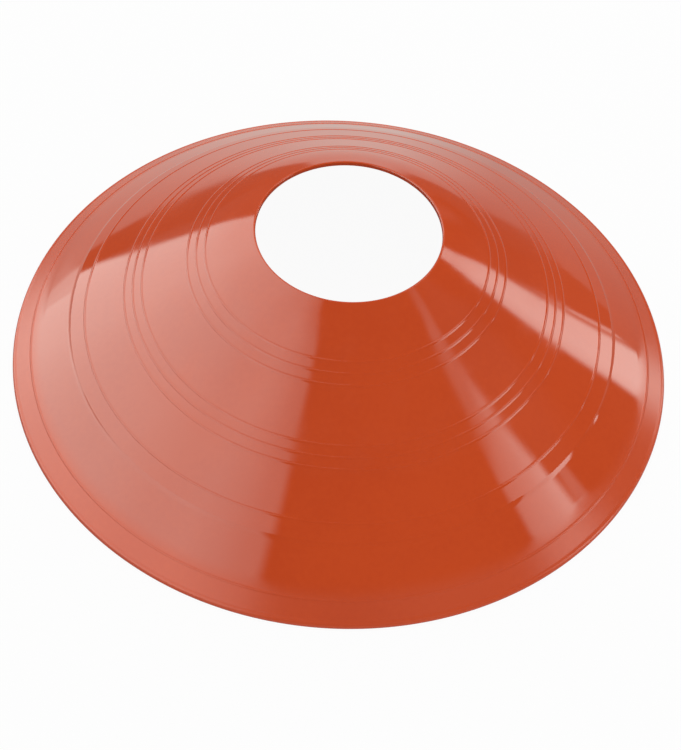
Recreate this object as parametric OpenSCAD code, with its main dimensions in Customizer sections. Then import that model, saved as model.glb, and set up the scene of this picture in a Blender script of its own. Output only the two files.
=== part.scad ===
// Low marker cone for sports fields: one moulded shell, open underneath and at the top.
// Lengths are in millimetres and angles in degrees. The rim stands on z = 0 and the axis is Z.
// A slope is the fall below the horizontal, going out from the axis.

/* [Overall size] */
// Outside diameter of the rim
base_d = 190; // [180:1:220]
// Height of the hole's edge above the ground
cone_h = 53.5; // [49:0.5:59]
// Diameter of the hole at the top
hole_d = 51.5; // [44:0.5:56]
// Thickness of the moulded wall
wall_t = 1.3; // [1:0.05:1.6]

/* [Crown round the hole] */
// Slope at the edge of the hole
crown_slope = 31; // [28:0.5:34]
// Width from the edge of the hole to the bend into the flank
crown_w = 9.2; // [8.8:0.1:12]
// Radius of the bend into the flank
crown_bend_r = 105; // [60:5:105]
// Radius that rounds the edge of the hole
lip_r = 0.4; // [0.2:0.05:0.6]

/* [Proud band under the flank] */
// Distance from the rim to the ring at the band's upper edge
band_in = 21.35; // [19:0.05:24]
// Width of the band
band_w = 3.95; // [3:0.05:5]
// How far the band's lower edge stands proud of the skirt
band_step = 0.18; // [0.1:0.02:0.3]
// Radius that runs the step out into the skirt
step_r = 4; // [2:0.5:6]

/* [Skirt and rim] */
// Slope of the skirt
skirt_slope = 40; // [39:0.1:42]
// Distance from the rim to the bend between skirt and flare
flare_in = 7.5; // [6:0.1:9]
// Slope of the flare inside the rim
flare_slope = 38; // [35:0.5:39.5]
// Radius of the bend between skirt and flare
flare_bend_r = 75; // [20:5:80]
// Radius of the rim's bead
bead_r = 1.3; // [1.1:0.05:1.5]
// Angle round the bead, from outside to inside, at which the flare meets it
bead_angle = 114; // [110:1:128]
// Width of the flat foot inside the bead
foot_w = 1; // [0.6:0.05:1.3]

/* [Raised rings] */
// Diameter of the middle ring of the upper group
upper_rings_d = 84; // [80:1:90]
// Diameter of the middle ring of the lower group
lower_rings_d = 119.5; // [112:0.5:124]
// Number of rings in each group
group_rings = 3; // [1:1:3]
// Distance between the rings of a group
ring_pitch = 2.5; // [1.5:0.1:3]
// Distance from the rim to the single ring on the flare
flare_ring_in = 5.5; // [4:0.1:6]
// Radius of a ring's rounded top
ring_r = 0.5; // [0.4:0.05:0.6]
// Depth of that round's centre below the surface
ring_sink = 0.3; // [0.26:0.02:0.34]

/* [Hidden] */
$fn = 180;
// Longest straight step along a bend, and the most that one step turns
facet_l = 1.5;
facet_turn = 12;
// Most of the shorter side of a corner that its rounding may take up
bend_share = 0.9;

hole_r = hole_d / 2;
base_r = base_d / 2;

// Corners of the outside before they are rounded, from the hole to the rim. The first one stands
// above the height that is left when it is rounded.
lip = [hole_r, cone_h + lip_r * (1 / tan((90 - crown_slope) / 2) - 1)];
crown_bend = lip + crown_w * [1, -tan(crown_slope)];
bead_centre = [base_r - bead_r, bead_r];
bead_start = bead_centre + bead_r * [cos(bead_angle), sin(bead_angle)];
flare_bend = [base_r - flare_in, 0] + up_to(bead_start.y, flare_slope, bead_start.x - base_r + flare_in);
band_top = [base_r - band_in, 0] + up_to(flare_bend.y, skirt_slope, band_in - flare_in);

// The step at the band's lower edge is the start of an arc that meets the skirt smoothly
step_turn = acos(1 - band_step / step_r);
band_edge = band_top + band_w * [1, -tan(skirt_slope)] + band_step * square_to(skirt_slope);
step_centre = band_edge + step_r * square_to(skirt_slope + step_turn);

// Corners of the inside, where the wall ends at the hole and at the foot
bore_foot = lip - [0, wall_t / cos(crown_slope)];
foot_in = [bead_centre.x - foot_w, 0];
wall_foot = foot_in + up_to(bead_start.y - wall_t / cos(flare_slope), flare_slope, bead_start.x - foot_in.x);

outer_path = concat(
  rounded(bore_foot, lip, crown_bend, lip_r),
  rounded(lip, crown_bend, band_top, crown_bend_r),
  [band_top],
  arc(step_centre, step_r, 270 - skirt_slope - step_turn, step_turn),
  rounded(band_edge, flare_bend, bead_start, flare_bend_r)
);
rim_path = arc(bead_centre, bead_r, bead_angle, -90 - bead_angle);
inner_path = concat(
  [foot_in, wall_foot],
  rounded(
    wall_foot,
    inner_corner(band_top, flare_bend, bead_start),
    inner_corner(crown_bend, band_top, flare_bend),
    flare_bend_r + wall_t
  ),
  [inner_corner(crown_bend, band_top, flare_bend)],
  rounded(
    inner_corner(crown_bend, band_top, flare_bend),
    inner_corner(lip, crown_bend, band_top),
    bore_foot,
    crown_bend_r - wall_t
  ),
  [bore_foot]
);
ring_radii = concat(
  ring_group(upper_rings_d / 2),
  ring_group(lower_rings_d / 2),
  [band_top.x, base_r - flare_ring_in]
);

// Height gained over a run of the given width, going in from height z
function up_to(z, slope, width) = [0, z + width * tan(slope)];

// Unit vector that points out of a surface of the given slope
function square_to(slope) = [sin(slope), cos(slope)];

// Unit vector that points under the shell from the line that runs out from a to b
function under(a, b) = let (d = (b - a) / norm(b - a)) [d.y, -d.x];

// Corner b of the outside path a, b, c, moved in by the wall's thickness
function inner_corner(a, b, c) = let (m = under(a, b), n = under(b, c)) b + wall_t * (m + n) / (1 + m * n);

// Points of an arc that starts at angle from and turns by turn
function arc(centre, r, from, turn) =
  let (steps = ceil(max(abs(turn) / facet_turn, r * abs(turn) * PI / 180 / facet_l)))
  [for (i = [0 : steps]) centre + r * [cos(from + turn * i / steps), sin(from + turn * i / steps)]];

// Points of the arc of radius r, or less where a side is short, that rounds corner b of the path a, b, c
function rounded(a, b, c, r) =
  let (
    u = (a - b) / norm(a - b),
    w = (c - b) / norm(c - b),
    half = acos(u * w) / 2,
    fit_r = min(r, bend_share * min(norm(a - b), norm(c - b)) * tan(half)),
    centre = b + (u + w) / norm(u + w) * fit_r / sin(half),
    start = b + u * fit_r / tan(half) - centre
  )
  arc(centre, fit_r, atan2(start.y, start.x), sign(cross(w, u)) * (180 - 2 * half));

// Radii of a group of rings round a middle radius
function ring_group(middle_r) =
  [for (i = [0 : group_rings - 1]) middle_r + (i - (group_rings - 1) / 2) * ring_pitch];

module wall_section() {
  polygon(concat(outer_path, rim_path, inner_path));
}

module ring_section(r) {
  translate([r, lookup(r, concat(outer_path, [bead_start])) - ring_sink])
    circle(r = ring_r);
}

module cone_shell() {
  color("#bd4522")
    union() {
      rotate_extrude()
        wall_section();
      for (r = ring_radii)
        rotate_extrude()
          ring_section(r);
    }
}

cone_shell();
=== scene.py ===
# Low marker cone: its moulded shell as a fine lathe mesh, the plastic, the studio and the camera.
import math

import bmesh
import bpy
from mathutils import Matrix, Vector


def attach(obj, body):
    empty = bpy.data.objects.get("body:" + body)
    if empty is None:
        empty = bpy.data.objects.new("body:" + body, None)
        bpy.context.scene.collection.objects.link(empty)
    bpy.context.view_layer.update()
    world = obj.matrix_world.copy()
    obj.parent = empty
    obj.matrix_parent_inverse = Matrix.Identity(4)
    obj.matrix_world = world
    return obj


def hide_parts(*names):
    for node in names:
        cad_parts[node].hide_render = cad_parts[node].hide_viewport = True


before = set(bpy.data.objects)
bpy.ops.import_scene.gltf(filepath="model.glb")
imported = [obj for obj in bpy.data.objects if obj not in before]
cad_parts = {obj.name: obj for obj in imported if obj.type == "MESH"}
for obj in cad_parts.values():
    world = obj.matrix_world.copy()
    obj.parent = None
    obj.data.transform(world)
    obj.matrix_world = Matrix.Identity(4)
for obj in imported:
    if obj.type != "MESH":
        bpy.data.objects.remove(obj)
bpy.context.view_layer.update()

# Sizes are in millimetres and turned into metres at the mesh. They repeat the part's own.
MM = 0.001
BASE_R = 95
CONE_H = 53.5
HOLE_R = 25.75
WALL = 1.3
CROWN_SLOPE = 31
CROWN_W = 9.2
CROWN_BEND_R = 105
LIP_R = 0.4
BAND_IN = 21.35
BAND_W = 3.95
BAND_STEP = 0.18
SKIRT_SLOPE = 40
FLARE_IN = 7.5
FLARE_SLOPE = 38
FLARE_BEND_R = 75
BEAD_R = 1.3
BEAD_ANGLE = 114
FOOT_W = 1
UPPER_RINGS_R = 42
LOWER_RINGS_R = 59.75
RING_PITCH = 2.5
FLARE_RING_IN = 5.5
RING_R = 0.5

# The mesh's own details. Its rings and its bead stand less proud than the solid's and have fillets
# at their feet, the band's edge is rounded and runs out over a longer arc, and the rim stays inside
# the solid's facets.
RING_PROUD = 0.12
RING_FILLET = 0.8
BEAD_PROUD = 0.15
BEAD_FILLET = 2
BAND_FILLET = 0.3
STEP_R = 7
SKIN_IN = 0.04

# The mesh's steps: their number round the axis, the longest along a straight run, the short step at
# each of its ends, and the length up to which a run isn't divided. Then the degrees of a step along
# each small arc.
TURNS = 360
LONG_STEP = 6
END_STEP = 0.12
SHORT_RUN = 8 * END_STEP
RUN_OUT_STEP = 1.5
RIM_FILLET_STEP = 3
BEAD_STEP = 7
RING_FILLET_STEP = 7
RING_TOP_STEP = 10

# Edges that turn by more degrees than this are shaded sharp
SHARP = 38

# The radii over which the scuffs of the upper part end, and over which the rim's satin begins, and the
# roughness of the gloss and what the satin adds to it
SCUFFS_END = (62, 66)
SATIN_START = (85.5, 90)
GLOSS_ROUGH = 0.05
SATIN_ROUGH = 0.2
PLASTIC_IOR = 1.5

# The world's light on the cone, the share of its own light that the white paper gives to the camera,
# and how much of that share the gloss shows
FILL = 0.9
PAPER_GLOW = 0.95
PAPER_IN_GLOSS = 0.2

# The studio, in metres: half the floor, the radius of the dome that the gloss shows, the radius at
# which the floor's card starts just outside the rim, and the card's height. Then the faces round both.
FLOOR_HALF = 8
DOME_R = 1.3
CARD_IN = 0.096
CARD_LIFT = 0.0004
CARD_COLUMNS = 720


def tan(degrees):
    return math.tan(math.radians(degrees))


def cos(degrees):
    return math.cos(math.radians(degrees))


def sin(degrees):
    return math.sin(math.radians(degrees))


def polar(r, degrees):
    return Vector((r * cos(degrees), r * sin(degrees)))


def arc(centre, r, start, turn, step):
    """Points of an arc in the section, where x is the radius and y the height."""
    n = max(2, math.ceil(abs(turn) / step))
    return [centre + polar(r, start + turn * i / n) for i in range(n + 1)]


def bend(a, b, c, r, n):
    """Points, in n steps, of the arc of radius r that rounds corner b of the path a, b, c."""
    u = (a - b).normalized()
    w = (c - b).normalized()
    half = math.acos(u.dot(w)) / 2
    centre = b + (u + w).normalized() * r / math.sin(half)
    start = b + u * r / math.tan(half) - centre
    turn = math.copysign(180 - 2 * math.degrees(half), w.cross(u))
    first = math.degrees(math.atan2(start.y, start.x))
    return arc(centre, r, first, turn, abs(turn) / n)


def under(a, b):
    """Unit vector that points under the shell from the line that runs out from a to b."""
    d = (b - a).normalized()
    return Vector((d.y, -d.x))


def inner_corner(a, b, c):
    """Corner b of the outside path a, b, c, moved in by the wall's thickness."""
    m = under(a, b)
    n = under(b, c)
    return b + WALL * (m + n) / (1 + m.dot(n))


def corners():
    """The outside's corners before they are rounded, and the wall's lower corner at the hole."""
    lip = Vector((HOLE_R, CONE_H + LIP_R * (1 / tan((90 - CROWN_SLOPE) / 2) - 1)))
    bead_start = Vector((BASE_R - BEAD_R, BEAD_R)) + polar(BEAD_R, BEAD_ANGLE)
    flare_x = BASE_R - FLARE_IN
    flare_bend = Vector((flare_x, bead_start.y + (bead_start.x - flare_x) * tan(FLARE_SLOPE)))
    band_x = BASE_R - BAND_IN
    return dict(
        bore_foot=lip - Vector((0, WALL / cos(CROWN_SLOPE))),
        lip=lip,
        crown_bend=lip + CROWN_W * Vector((1, -tan(CROWN_SLOPE))),
        band_top=Vector((band_x, flare_bend.y + (flare_x - band_x) * tan(SKIRT_SLOPE))),
        flare_bend=flare_bend,
        bead_start=bead_start,
    )


def smooth_outside(c):
    """The outside without its rings, from the hole's edge to the ground."""
    square = Vector((sin(SKIRT_SLOPE), cos(SKIRT_SLOPE)))
    band_edge = c["band_top"] + BAND_W * Vector((1, -tan(SKIRT_SLOPE))) + BAND_STEP * square
    turn = math.degrees(math.acos(1 - BAND_STEP / STEP_R))
    centre = band_edge + polar(STEP_R, 90 - SKIRT_SLOPE - turn)
    run_out = arc(centre, STEP_R, 270 - SKIRT_SLOPE - turn, turn, RUN_OUT_STEP)
    points = bend(c["bore_foot"], c["lip"], c["crown_bend"], LIP_R, n=8)
    points += bend(c["lip"], c["crown_bend"], c["band_top"], CROWN_BEND_R, n=16)
    points += [c["band_top"]]
    points += bend(c["band_top"], band_edge, run_out[1], BAND_FILLET, n=4)
    points += run_out[1:]
    points += bend(band_edge, c["flare_bend"], c["bead_start"], FLARE_BEND_R, n=8)
    return points + rim(c["bead_start"])


def rim(on_flare):
    """The fillet and the bead that end the flare, down to the ground, from a place on the flare."""
    out = polar(1, -FLARE_SLOPE)
    up = polar(1, 90 - FLARE_SLOPE)
    depth = BEAD_R - BEAD_PROUD
    run = (BASE_R - BEAD_R - on_flare.x + depth * up.x) / out.x
    centre = on_flare + run * out - depth * up
    lean = math.degrees(math.acos((BEAD_FILLET + depth) / (BEAD_FILLET + BEAD_R)))
    fillet_centre = centre + polar(BEAD_FILLET + BEAD_R, 90 - FLARE_SLOPE + lean)
    first = 90 - FLARE_SLOPE + lean
    last = -math.degrees(math.asin(centre.y / BEAD_R))
    fillet = arc(fillet_centre, BEAD_FILLET, 270 - FLARE_SLOPE, lean, RIM_FILLET_STEP)
    return fillet + arc(centre, BEAD_R, first, last - first, BEAD_STEP)[1:]


def at_radius(points, r):
    """The place on the path at radius r, and the unit vector that runs out along it there."""
    for a, b in zip(points, points[1:]):
        if a.x <= r <= b.x and b.x > a.x:
            return a.lerp(b, (r - a.x) / (b.x - a.x)), (b - a).normalized()
    raise ValueError("no such radius on the path")


def ring_points(points, r):
    """A raised ring's section: a fillet, the rounded top and a fillet, going out."""
    foot, out = at_radius(points, r)
    up = Vector((-out.y, out.x))
    sink = RING_R - RING_PROUD
    side = math.sqrt((RING_R + RING_FILLET) ** 2 - (sink + RING_FILLET) ** 2)
    lean = math.degrees(math.atan2(sink + RING_FILLET, side))
    local = arc(Vector((-side, RING_FILLET)), RING_FILLET, -90, 90 - lean, RING_FILLET_STEP)
    local += arc(Vector((0, -sink)), RING_R, 180 - lean, 2 * lean - 180, RING_TOP_STEP)[1:-1]
    local += arc(Vector((side, RING_FILLET)), RING_FILLET, 180 + lean, 90 - lean, RING_FILLET_STEP)
    return [foot + p.x * out + p.y * up for p in local]


def with_rings(points, radii):
    """The path with each ring put in, in place of the stretch that it covers."""
    path = list(points)
    for r in radii:
        ring = ring_points(points, r)
        path = [p for p in path if p.x < ring[0].x] + ring + [p for p in path if p.x > ring[-1].x]
    return path


def spread(points):
    """The path with its straight runs divided. Short steps at their ends keep the shading in place."""
    out = [points[0]]
    for a, b in zip(points, points[1:]):
        length = (b - a).length
        if length > SHORT_RUN:
            n = math.ceil(length / LONG_STEP)
            end = END_STEP / length
            out += [a.lerp(b, t) for t in [end] + [i / n for i in range(1, n)] + [1 - end]]
        out.append(b)
    return out


def ring_radii(c):
    """The two groups of rings, the ring at the band's upper edge and the one on the flare."""
    group = (-RING_PITCH, 0, RING_PITCH)
    radii = [middle + d for middle in (UPPER_RINGS_R, LOWER_RINGS_R) for d in group]
    return radii + [c["band_top"].x, BASE_R - FLARE_RING_IN]


def wall_inside(c):
    """The inside, from the foot up to the hole."""
    foot_x = BASE_R - BEAD_R - FOOT_W
    run = c["bead_start"].x - foot_x
    heel = Vector((foot_x, c["bead_start"].y - WALL / cos(FLARE_SLOPE) + run * tan(FLARE_SLOPE)))
    low = inner_corner(c["band_top"], c["flare_bend"], c["bead_start"])
    middle = inner_corner(c["crown_bend"], c["band_top"], c["flare_bend"])
    high = inner_corner(c["lip"], c["crown_bend"], c["band_top"])
    points = [Vector((foot_x, 0)), heel]
    points += bend(heel, low, middle, FLARE_BEND_R + WALL, n=8)
    points += [middle]
    points += bend(middle, high, c["bore_foot"], CROWN_BEND_R - WALL, n=12)
    return points + [c["bore_foot"]]


def shell_section():
    """The closed section as two paths: the outside with its rings, and the inside."""
    c = corners()
    outside = with_rings(smooth_outside(c), ring_radii(c))
    return spread(outside), spread(wall_inside(c))


def lathe(name, outside, inside):
    """The closed section turned round Z, with a part number on each face: 0 outside, 1 inside."""
    section = outside + inside
    scale = (BASE_R - SKIN_IN) / BASE_R * MM
    bm = bmesh.new()
    part = bm.faces.layers.int.new("part")
    columns = []
    for t in range(TURNS):
        a = 360 * t / TURNS
        places = [(p.x * cos(a) * scale, p.x * sin(a) * scale, p.y * scale) for p in section]
        columns.append([bm.verts.new(place) for place in places])
    n = len(section)
    for here, after in zip(columns, columns[1:] + columns[:1]):
        for i in range(n):
            j = (i + 1) % n
            f = bm.faces.new((here[i], here[j], after[j], after[i]))
            f.smooth = True
            f[part] = 1 if i >= len(outside) else 0
    bmesh.ops.recalc_face_normals(bm, faces=bm.faces)
    mesh = bpy.data.meshes.new(name)
    bm.to_mesh(mesh)
    bm.free()
    return mesh


class Nodes:
    """A short way to add shader nodes and join them."""

    # The colour mixer's sockets share their names with those of its other modes, so they go by number
    MIX_FACTOR, MIX_A, MIX_B, MIXED = 0, 6, 7, 2

    def __init__(self, tree):
        self.tree = tree

    def add(self, kind, settings=None, **inputs):
        """A node with its own settings. Each input is given by its socket's name, with _ for a space."""
        node = self.tree.nodes.new(kind)
        for k, v in (settings or {}).items():
            setattr(node, k, v)
        for k, v in inputs.items():
            self.put(node.inputs[k.replace("_", " ")], v)
        return node

    def put(self, socket, value):
        """Join the value to the socket, or set it there if it is a plain value."""
        if isinstance(value, bpy.types.NodeSocket):
            self.tree.links.new(value, socket)
        else:
            socket.default_value = value

    def math(self, operation, a, b=0.0):
        node = self.tree.nodes.new("ShaderNodeMath")
        node.operation = operation
        self.put(node.inputs[0], a)
        self.put(node.inputs[1], b)
        return node.outputs[0]

    def ramp(self, value, low, high, to_low=0.0, to_high=1.0):
        """A smooth change from to_low to to_high while the value goes from low to high."""
        node = self.tree.nodes.new("ShaderNodeMapRange")
        node.interpolation_type = "SMOOTHSTEP"
        self.put(node.inputs["Value"], value)
        node.inputs["From Min"].default_value = low
        node.inputs["From Max"].default_value = high
        self.put(node.inputs["To Min"], to_low)
        self.put(node.inputs["To Max"], to_high)
        return node.outputs["Result"]

    def noise(self, vector, size_mm, detail=2.0, rough=0.5):
        """Noise whose spots are about size_mm across."""
        scale = 1 / (size_mm * MM)
        node = self.add("ShaderNodeTexNoise", Vector=vector, Scale=scale, Detail=detail, Roughness=rough)
        return node.outputs["Fac"]

    def mix(self, factor, a, b):
        node = self.tree.nodes.new("ShaderNodeMix")
        node.data_type = "RGBA"
        self.put(node.inputs[self.MIX_FACTOR], factor)
        self.put(node.inputs[self.MIX_A], a)
        self.put(node.inputs[self.MIX_B], b)
        return node.outputs[self.MIXED]


def new_material(name):
    m = bpy.data.materials.new(name)
    m.use_nodes = True
    m.node_tree.nodes.clear()
    return m, Nodes(m.node_tree)


def plastic():
    """Glossy moulded plastic: faint flow marks, a scuffed upper part, and a satin flare at the rim."""
    m, n = new_material("cone_plastic")
    place = n.add("ShaderNodeTexCoord").outputs["Object"]
    parts = n.add("ShaderNodeSeparateXYZ", Vector=place)
    flat = n.add("ShaderNodeCombineXYZ", X=parts.outputs["X"], Y=parts.outputs["Y"])
    radius = n.add("ShaderNodeVectorMath", {"operation": "LENGTH"})
    n.put(radius.inputs[0], flat.outputs[0])
    r = radius.outputs["Value"]

    flow = n.noise(place, 34, detail=3)
    grain = n.noise(place, 1.6, detail=2)
    tone = n.math("ADD", n.math("MULTIPLY", flow, 0.7), n.math("MULTIPLY", grain, 0.3))
    colour = n.mix(n.ramp(tone, 0.38, 0.62), (0.488, 0.0515, 0.0078, 1), (0.512, 0.0565, 0.0088, 1))

    satin = n.ramp(r, SATIN_START[0] * MM, SATIN_START[1] * MM)
    worn = n.ramp(r, SCUFFS_END[0] * MM, SCUFFS_END[1] * MM, 1.0, 0.0)
    smudge = n.ramp(n.noise(place, 9, detail=4, rough=0.6), 0.45, 0.7, 0.035, 0.08)
    gloss = n.math("ADD", GLOSS_ROUGH, n.math("MULTIPLY", worn, smudge))
    rough = n.math("ADD", gloss, n.math("MULTIPLY", satin, SATIN_ROUGH))

    swell = n.noise(place, 22, detail=1)
    peel = n.noise(place, 0.9, detail=2)
    grit = n.math("ADD", 0.0006, n.math("MULTIPLY", worn, 0.0012))
    height = n.math("ADD", n.math("MULTIPLY", swell, 0.020), n.math("MULTIPLY", peel, grit))
    bump = n.add("ShaderNodeBump", Strength=1.0, Distance=MM, Height=height)

    shader = n.add(
        "ShaderNodeBsdfPrincipled",
        Base_Color=colour,
        Roughness=rough,
        IOR=PLASTIC_IOR,
        Normal=bump.outputs["Normal"],
    )
    out = n.add("ShaderNodeOutputMaterial")
    n.put(out.inputs["Surface"], shader.outputs[0])
    return m


def core_plastic():
    """The moulding's inside, drawn off a satin core."""
    m, n = new_material("core_plastic")
    place = n.add("ShaderNodeTexCoord").outputs["Object"]
    flow = n.noise(place, 30, detail=3)
    colour = n.mix(n.ramp(flow, 0.35, 0.65), (0.470, 0.046, 0.0075, 1), (0.505, 0.053, 0.0085, 1))
    fine = n.noise(place, 0.7, detail=2)
    rough = n.ramp(n.noise(place, 9, detail=3), 0.3, 0.7, 0.34, 0.42)
    bump = n.add("ShaderNodeBump", Strength=1.0, Distance=MM, Height=n.math("MULTIPLY", fine, 0.004))
    shader = n.add(
        "ShaderNodeBsdfPrincipled",
        Base_Color=colour,
        Roughness=rough,
        IOR=PLASTIC_IOR,
        Normal=bump.outputs["Normal"],
    )
    out = n.add("ShaderNodeOutputMaterial")
    n.put(out.inputs["Surface"], shader.outputs[0])
    return m


def cone():
    """The moulded shell, which stands for the CAD node."""
    mesh = lathe("moulded_shell", *shell_section())
    shell = bpy.data.objects.new("moulded_shell", mesh)
    bpy.context.scene.collection.objects.link(shell)
    mesh.materials.append(plastic())
    mesh.materials.append(core_plastic())
    for f, p in zip(mesh.polygons, mesh.attributes["part"].data):
        f.material_index = p.value
    mesh.set_sharp_from_angle(angle=math.radians(SHARP))
    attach(shell, "root")
    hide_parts("cone_shell")


def floor():
    """White paper that reaches past the picture on all sides."""
    h = FLOOR_HALF
    mesh = bpy.data.meshes.new("floor")
    mesh.from_pydata([(-h, -h, 0), (h, -h, 0), (h, h, 0), (-h, h, 0)], [], [(0, 1, 2, 3)])
    mesh.materials.append(ground_material())
    thing = bpy.data.objects.new("floor", mesh)
    bpy.context.scene.collection.objects.link(thing)


def ground_material():
    """White paper. Its own light keeps it white to the camera, with a weak shadow left in."""
    m, n = new_material("white_paper")
    seen = n.add("ShaderNodeLightPath")
    clear = n.math("MAXIMUM", seen.outputs["Is Camera Ray"], seen.outputs["Is Transmission Ray"])
    gloss = n.math("MULTIPLY", seen.outputs["Is Glossy Ray"], PAPER_IN_GLOSS)
    share = n.math("MAXIMUM", clear, gloss)
    grain = n.noise(n.add("ShaderNodeTexCoord").outputs["Object"], 3, detail=3)
    tone = n.mix(grain, (0.58, 0.58, 0.575, 1), (0.62, 0.62, 0.615, 1))
    paper = n.add("ShaderNodeBsdfDiffuse", Color=tone)
    light = n.add("ShaderNodeEmission", Color=(1, 1, 1, 1), Strength=1.0)
    both = n.add("ShaderNodeMixShader")
    n.put(both.inputs[0], n.math("MULTIPLY", share, PAPER_GLOW))
    n.put(both.inputs[1], paper.outputs[0])
    n.put(both.inputs[2], light.outputs[0])
    out = n.add("ShaderNodeOutputMaterial")
    n.put(out.inputs["Surface"], both.outputs[0])
    return m


def glow_material(name):
    """Light as strong as the mesh's own glow, for cards that only the gloss shows."""
    m, n = new_material(name)
    glow = n.add("ShaderNodeAttribute", {"attribute_name": "glow"})
    light = n.add("ShaderNodeEmission", Color=(0.92, 1.04, 0.99, 1), Strength=glow.outputs["Fac"])
    out = n.add("ShaderNodeOutputMaterial")
    n.put(out.inputs["Surface"], light.outputs[0])
    m.cycles.emission_sampling = "NONE"
    return m


def along(stops, x):
    """The value at x on the line through stops, which are pairs of x and value."""
    if x <= stops[0][0]:
        return stops[0][1]
    for (x0, v0), (x1, v1) in zip(stops, stops[1:]):
        if x <= x1:
            return v0 + (v1 - v0) * (x - x0) / (x1 - x0)
    return stops[-1][1]


def rise(x, edge, width):
    """0 well below the edge and 1 well above it, with a smooth change of the given width."""
    t = min(1, max(0, (x - edge) / width + 0.5))
    return t * t * (3 - 2 * t)


def window(x, low, high, width):
    return rise(x, low, width) * rise(-x, -high, width)


def dome_glow(azimuth, elevation):
    """What the studio's dark dome holds.

    A wide panel stands on the left. A strip and a patch stand on the right, with a dim streak above
    the patch. There is dim light on the ceiling to the right, and behind the cone.
    """
    turn = azimuth % 360
    side = (azimuth + 180) % 360 - 180
    dark = along([(42, 0.17), (56, 0.09), (75, 0.09), (112, 0.16), (131, 0.3), (180, 0.17)], side)
    haze = 0.15 * window(side, -8, 14, 8) * window(elevation, 24, 48, 8)

    back = along([(0, 134.2), (6, 132.2), (16, 130.9), (34, 130.9), (48, 112)], elevation)
    front = along([(41, 249), (48, 250), (56, 248.5), (61, 244.7), (65, 239.6), (79, 208)], elevation)
    panel = along([(134, 3.1), (152, 4.1), (188, 4.15), (206, 3.6)], turn)
    panel *= along([(28, 1), (34, 0.94), (58, 0.77), (64, 0.63), (80, 0.3)], elevation)
    panel *= along([(0, 0.5), (8, 0.62), (16, 0.82), (27, 1)], front - turn)
    panel *= rise(turn, back, 2) * rise(-turn, -front, 5)
    foot = along([(134, -19), (150, -9), (165, -1), (180, 6), (210, 8)], turn)
    panel *= 0.25 + 0.75 * rise(elevation, foot, 6)

    strip = along([(27, 3.9), (31, 4.3), (38, 3.4)], side) * rise(-elevation, -31, 6)
    strip *= window(side, along([(9, 27.9), (18, 26.4), (23, 26.6), (31, 31.5)], elevation), 38.3, 2)
    strip += 2.2 * window(side, 39.2, 40.2, 0.8) * rise(-elevation, -7, 3)

    patch = along([(-20, 2.2), (-12, 3.2), (-7, 4.4)], side) * along([(29, 1), (36, 0.75)], elevation)
    edge = along([(18, 0), (22, -5), (26, -6.3), (30, -6.3), (37, -10.5)], elevation)
    patch *= window(side, -21, edge, 2.5)
    patch *= rise(-elevation, -37, 3)
    patch += 1.2 * window(side, -4.5, -1, 2) * window(elevation, 20, 25, 2)
    patch += 4 * window(side, 13, 15.5, 1) * window(elevation, 1, 9, 3)
    lean = side - along([(38, -15), (44, -11.5), (50, -3.5)], elevation)
    streak = along([(40, 1.2), (50, 0.8)], elevation) * window(lean, -4.5, 4.5, 5)
    streak *= window(elevation, 38, 52, 4)

    ceiling = 2.0 * window(side, 12, 44, 10) * window(elevation, 50, 66, 8)
    behind = 0.9 * window(side, 60, 118, 16) * rise(elevation, along([(100, 8), (118, 34)], side), 10)
    behind *= rise(-elevation, -64, 12)
    return dark + haze + panel + strip + patch + streak + ceiling + behind


def floor_glow(azimuth, distance):
    """The floor in the gloss: white paper that ends in the dark behind the cone and in front of it."""
    side = (azimuth + 180) % 360 - 180
    turn = azimuth % 360
    paper = along([(62, 0.44), (82, 0.66)], abs(side))
    paper += 0.4 * window(turn, 145, 250, 16) * rise(distance, 0.14, 0.08)
    border = along([(0.15, 149), (0.25, 142), (0.5, 139), (1.3, 135)], distance)
    far = [(39, 1.2), (46, 0.5), (52, 0.25), (62, 0.235), (75, 0.29), (95, 0.29), (116, 0.18), (134, 0.24)]
    behind = rise(side, 39, 3) * rise(-side, -border, 3) * rise(distance, along(far, side), 0.03)
    before = window(turn, 248, 350, 8) * rise(distance, 0.125, 0.02)
    bright = along([(0.13, 0), (0.19, 0.3), (0.23, 1.4), (0.45, 2.0), (1.3, 2.2)], distance)
    bright *= rise(turn, border, 3) * rise(-turn, -248, 6)
    return paper + bright - (paper - 0.14) * max(behind, before)


def glow_card(name, rows, columns, place, glow):
    """A closed ring of faces round the cone, lit by its own glow and seen in the gloss only."""
    grid = [(a, r) for r in rows for a in columns]
    n = len(columns)
    faces = []
    for j in range(len(rows) - 1):
        for i in range(n):
            k = (i + 1) % n
            faces.append((j * n + i, j * n + k, j * n + n + k, j * n + n + i))
    mesh = bpy.data.meshes.new(name)
    mesh.from_pydata([place(a, r) for a, r in grid], [], faces)
    values = mesh.attributes.new("glow", "FLOAT", "POINT").data
    for value, (a, r) in zip(values, grid):
        value.value = glow(a, r)
    card = bpy.data.objects.new(name, mesh)
    bpy.context.scene.collection.objects.link(card)
    mesh.materials.append(glow_material(name))
    for kind in ("camera", "diffuse", "shadow", "volume_scatter"):
        setattr(card, "visible_" + kind, False)


def dome_place(azimuth, elevation):
    flat = DOME_R * cos(elevation)
    return (flat * cos(azimuth), flat * sin(azimuth), DOME_R * sin(elevation))


def floor_place(azimuth, distance):
    return (distance * cos(azimuth), distance * sin(azimuth), CARD_LIFT)


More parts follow.
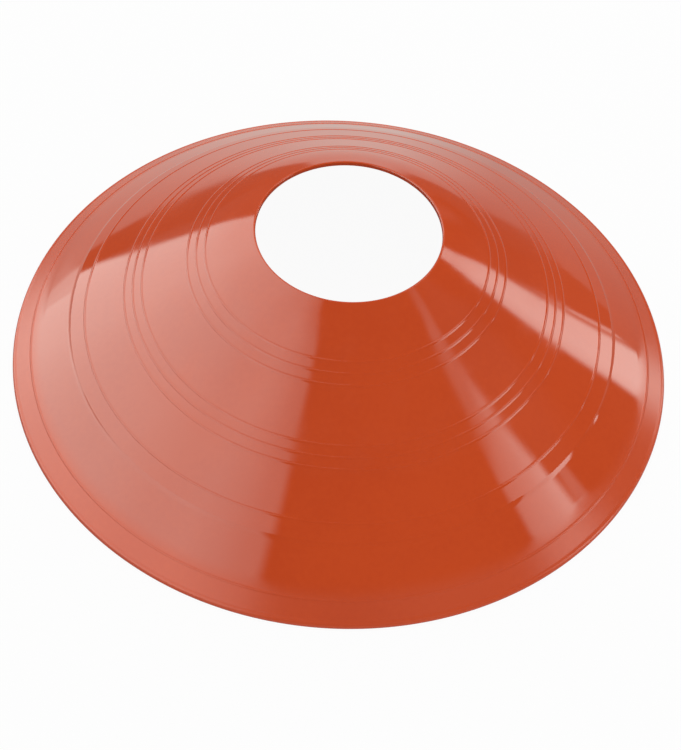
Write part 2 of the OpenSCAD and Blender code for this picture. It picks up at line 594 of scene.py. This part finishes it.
def studio():
    """The floor, the cards that the gloss shows, the two lamps and the white world."""
    floor()
    columns = [360 * i / CARD_COLUMNS for i in range(CARD_COLUMNS)]
    heights = [1.5 * i for i in range(59)]
    glow_card("studio_dome", heights, columns, dome_place, dome_glow)
    near = [CARD_IN] + [0.1 + 0.005 * i for i in range(40)]
    far = [0.3 + 0.05 * i for i in range(21)]
    glow_card("floor_glow", near + far, columns, floor_place, floor_glow)
    soft_lamp("back_lamp", azimuth=95, elevation=31, size=1.0, watts=7.6)
    soft_lamp("front_lamp", azimuth=-55, elevation=25, size=1.0, watts=3.1)
    white_world()


def white_world():
    """White to the camera, the gloss and glass, and a little less than that as light on the cone."""
    world = bpy.data.worlds.new("studio")
    bpy.context.scene.world = world
    world.use_nodes = True
    world.node_tree.nodes.clear()
    n = Nodes(world.node_tree)
    seen = n.add("ShaderNodeLightPath")
    rays = n.math("MAXIMUM", seen.outputs["Is Camera Ray"], seen.outputs["Is Glossy Ray"])
    rays = n.math("MAXIMUM", rays, seen.outputs["Is Transmission Ray"])
    fill = n.add("ShaderNodeBackground", Color=(1, 1, 1, 1), Strength=FILL)
    white = n.add("ShaderNodeBackground", Color=(1, 1, 1, 1), Strength=1.0)
    both = n.add("ShaderNodeMixShader")
    n.put(both.inputs[0], rays)
    n.put(both.inputs[1], fill.outputs[0])
    n.put(both.inputs[2], white.outputs[0])
    out = n.add("ShaderNodeOutputWorld")
    n.put(out.inputs["Surface"], both.outputs[0])


def soft_lamp(name, azimuth, elevation, size, watts):
    """A broad lamp on the dome that has no mirror image of its own in the plastic."""
    data = bpy.data.lights.new(name, "AREA")
    data.shape = "DISK"
    data.size = size
    data.energy = watts
    lamp = bpy.data.objects.new(name, data)
    lamp.location = dome_place(azimuth, elevation)
    lamp.rotation_mode = "QUATERNION"
    lamp.rotation_quaternion = lamp.location.to_track_quat("Z", "Y")
    lamp.visible_glossy = False
    lamp.visible_camera = False
    bpy.context.scene.collection.objects.link(lamp)


def camera():
    """The photograph's camera: its distance, height, roll and the pixel that the cone's centre falls on."""
    width, height = 681, 750
    focal_px = 2257.6
    distance = 0.6607
    elevation = 50.603
    roll = 4.255
    centre_px = (340.0, 353.58)

    data = bpy.data.cameras.new("camera")
    data.sensor_fit = "AUTO"
    data.sensor_width = 36
    data.lens = focal_px * data.sensor_width / max(width, height)
    cam = bpy.data.objects.new("camera", data)
    bpy.context.scene.collection.objects.link(cam)
    bpy.context.scene.camera = cam

    cam.location = (0, -distance * cos(elevation), distance * sin(elevation))
    back = cam.location.normalized()
    side = Vector((1, 0, 0))
    level = Matrix((side, back.cross(side), back)).transposed()
    rolled = level @ Matrix.Rotation(math.radians(roll), 3, "Z")
    aim = Vector((centre_px[0] - width / 2, height / 2 - centre_px[1], -focal_px)).normalized()
    turn = aim.rotation_difference(Vector((0, 0, -1))).to_matrix()
    cam.rotation_mode = "QUATERNION"
    cam.rotation_quaternion = (rolled @ turn).to_quaternion()


cone()
studio()
camera()
bpy.context.scene.view_settings.view_transform = "Standard"
